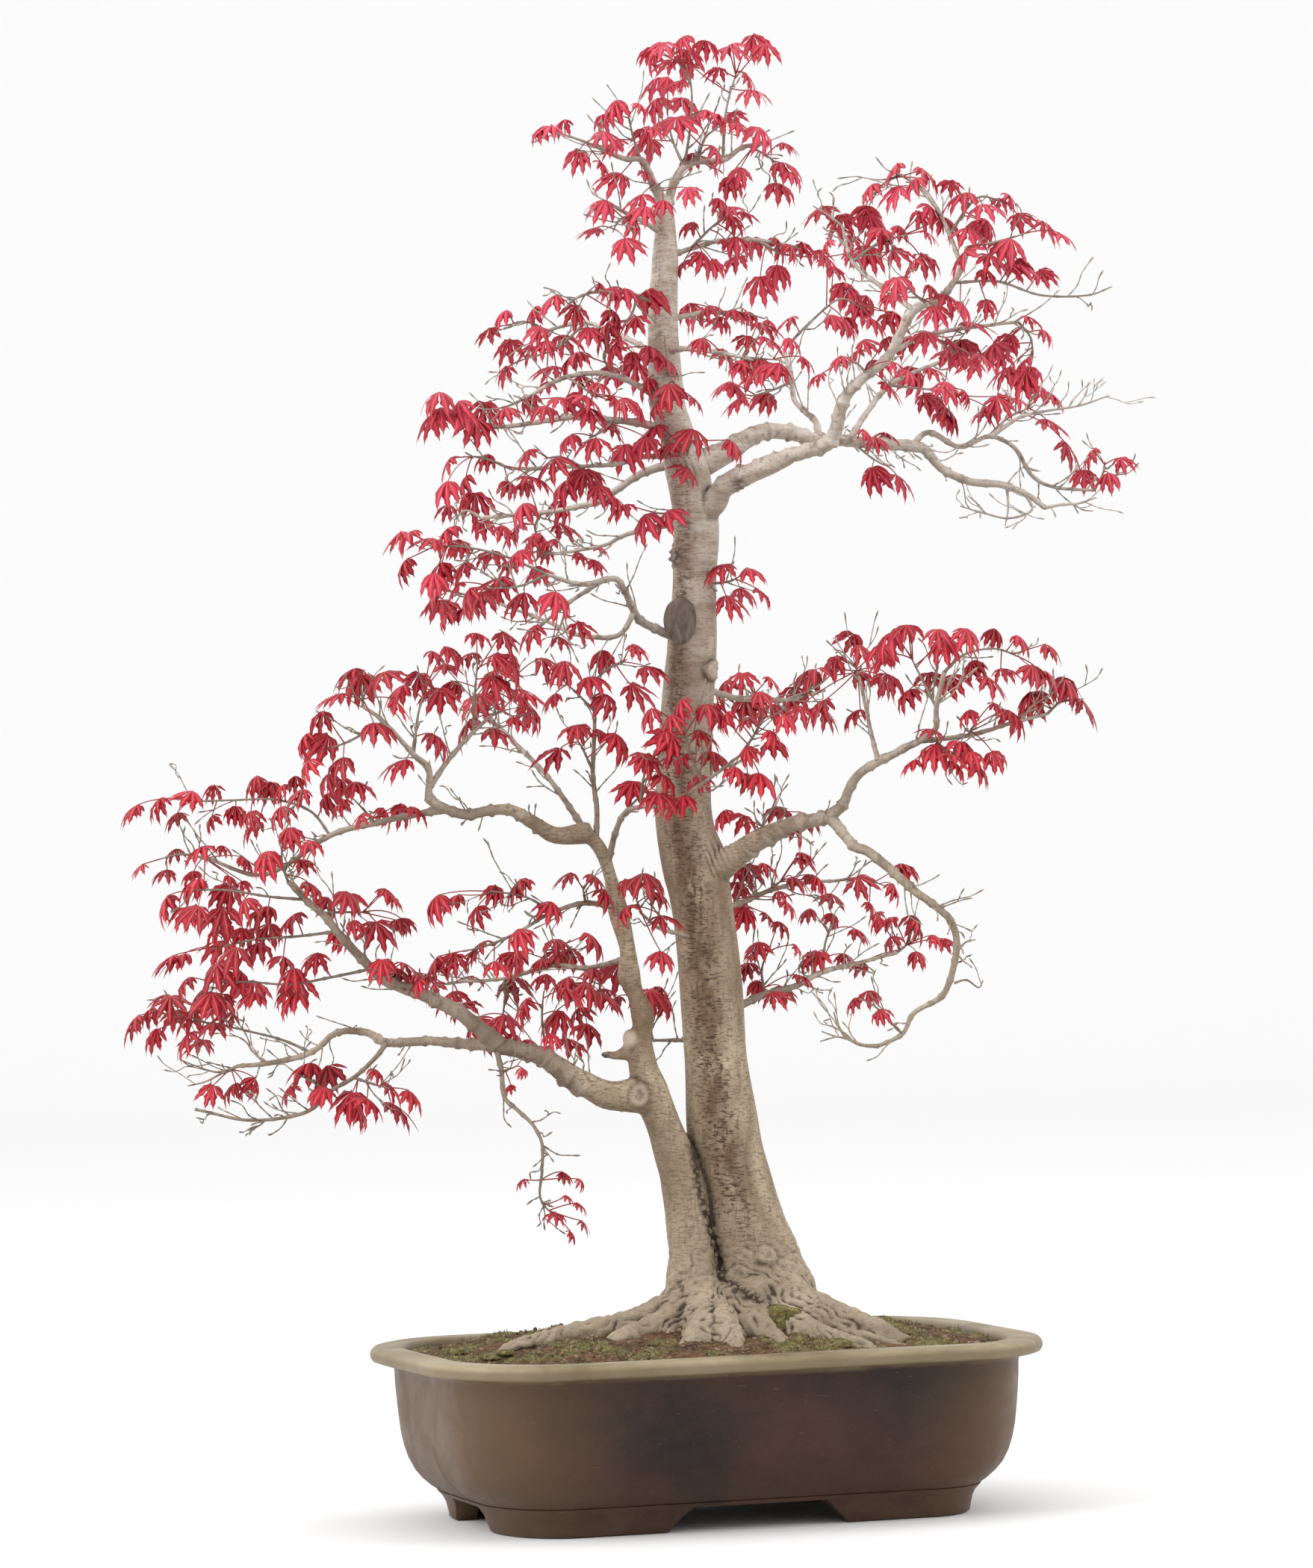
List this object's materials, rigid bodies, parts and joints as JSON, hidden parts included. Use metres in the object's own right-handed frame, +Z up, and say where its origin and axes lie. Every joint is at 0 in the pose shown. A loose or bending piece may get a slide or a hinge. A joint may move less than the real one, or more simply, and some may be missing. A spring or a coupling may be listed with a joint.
{
  "type": "deshojo japanese maple bonsai",
  "caption": "Twin-trunk Japanese maple bonsai with red spring leaves, standing in a low brown stoneware pot with a flat lip and corner feet.",
  "frame": {"origin": "middle of the ground under the box that holds the tree and pot", "axes": "+Z up, +X along the pot's length to the right, +Y to the back"},
  "size_m": [0.7152, 0.4312, 0.9912],
  "materials": {
    "stoneware": "unglazed brown stoneware, mottled, with tan wear on the rim; ceramic",
    "screen": "moulded plastic mesh, matt",
    "soil": "fine grit and soil with moss and algae; granular mineral",
    "bark": "smooth grey tan maple bark with fine fissures and a darker band",
    "putty": "dried grafting putty, matt grey brown",
    "leaf": "thin crimson new leaves, slightly translucent, satin, with paler veins"
  },
  "bodies": {
    "root": {"drain_screen_left": "screen", "drain_screen_right": "screen", "leaves_a_cross": "leaf", "leaves_a_far": "leaf", "leaves_a_long": "leaf", "leaves_a_rise": "leaf", "leaves_a_up": "leaf", "leaves_apex_left": "leaf", "leaves_apex_right": "leaf", "leaves_b_left": "leaf", "leaves_back": "leaf", "leaves_between": "leaf", "leaves_c_left": "leaf", "leaves_c_lower": "leaf", "leaves_c_upper": "leaf", "leaves_crown_back_left": "leaf", "leaves_crown_front": "leaf", "leaves_crown_left": "leaf", "leaves_crown_low_left": "leaf", "leaves_crown_right": "leaf", "leaves_d_left": "leaf", "leaves_e_back": "leaf", "leaves_e_crest": "leaf", "leaves_e_far": "leaf", "leaves_e_inner": "leaf", "leaves_e_long": "leaf", "leaves_e_lower_near": "leaf", "leaves_e_near": "leaf", "leaves_e_over": "leaf", "leaves_e_rise": "leaf", "leaves_e_tip": "leaf", "leaves_f_down_low": "leaf", "leaves_f_far": "leaf", "leaves_f_right_near": "leaf", "leaves_f_rise": "leaf", "leaves_f_up_left": "leaf", "leaves_f_up_tip": "leaf", "leaves_g_back": "leaf", "leaves_g_high": "leaf", "leaves_h_end": "leaf", "leaves_h_mid_rise": "leaf", "leaves_h_mid_tip": "leaf", "leaves_h_rise": "leaf", "leaves_h_up": "leaf", "leaves_i_drop": "leaf", "leaves_low_between": "leaf", "leaves_m_back": "leaf", "leaves_m_front": "leaf", "leaves_shoulder_left": "leaf", "leaves_shoulder_right": "leaf", "leaves_trunk_fork": "leaf", "leaves_trunk_high": "leaf", "leaves_trunk_middle": "leaf", "leaves_trunk_right": "leaf", "pot": "stoneware", "soil": "soil", "trunk_and_branches": "bark", "wound_putty": "putty"}
  },
  "joints": []
}
